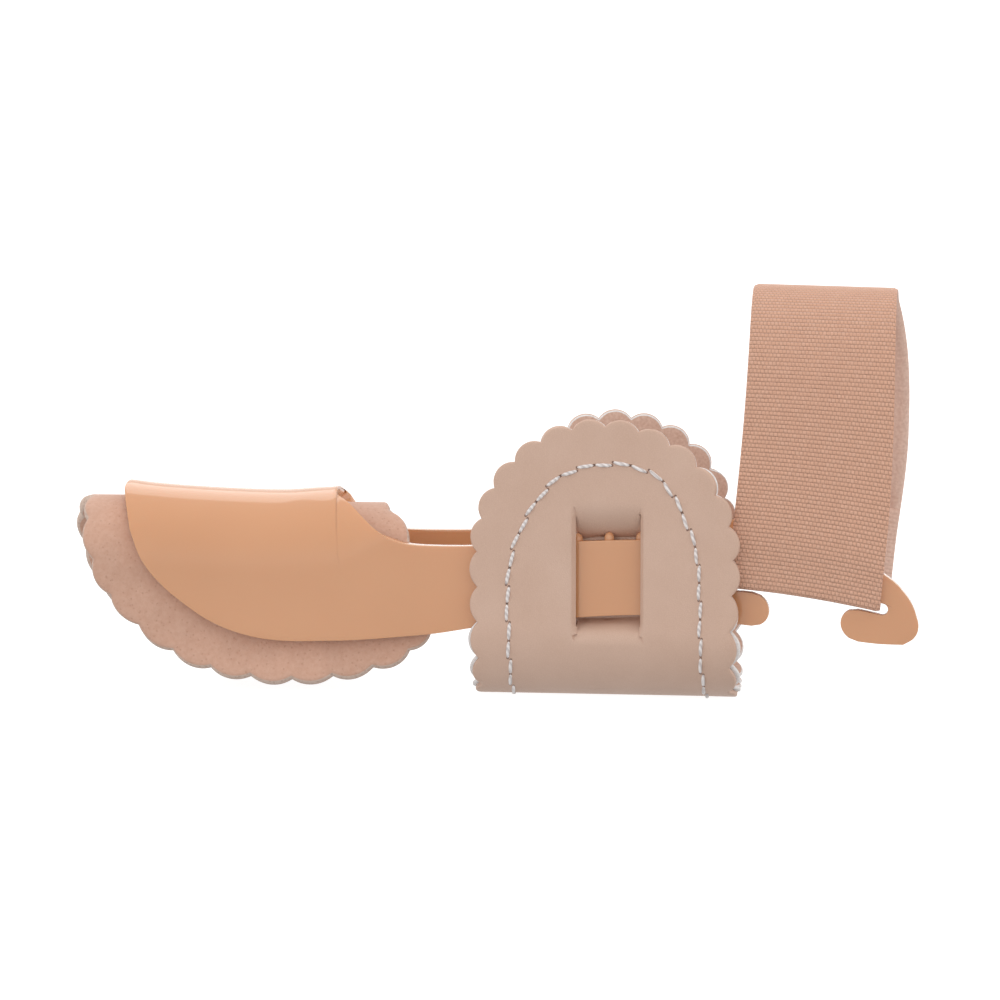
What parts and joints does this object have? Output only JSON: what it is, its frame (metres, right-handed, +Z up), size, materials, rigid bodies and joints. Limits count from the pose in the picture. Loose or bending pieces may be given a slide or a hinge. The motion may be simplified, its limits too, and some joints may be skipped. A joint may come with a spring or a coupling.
{
  "type": "bunion corrector",
  "caption": "Toe splint for a bunion: a moulded shell with two arms, a folded toe pad, a U-shaped leather sling and an arched elastic strap.",
  "frame": {"origin": "middle of the bounding box's base, on the surface that the sling's flat bottom rests on", "axes": "+X from the toe end to the heel end, +Y across the arms to the rear arm in the picture, +Z up"},
  "size_m": [0.1824, 0.055, 0.0862],
  "materials": {
    "plastic": "glossy injection-moulded nylon, skin-coloured",
    "suede": "suede-faced foam",
    "leather": "fine-grained semi-matt leather",
    "lining": "thin white lining",
    "elastic": "ribbed woven elastic with a looped back"
  },
  "bodies": {
    "root": {"splint_frame": "plastic", "toe_pad": "suede", "bunion_pad_cover": "leather", "bunion_pad_lining": "lining", "elastic_strap": "elastic"}
  },
  "joints": []
}
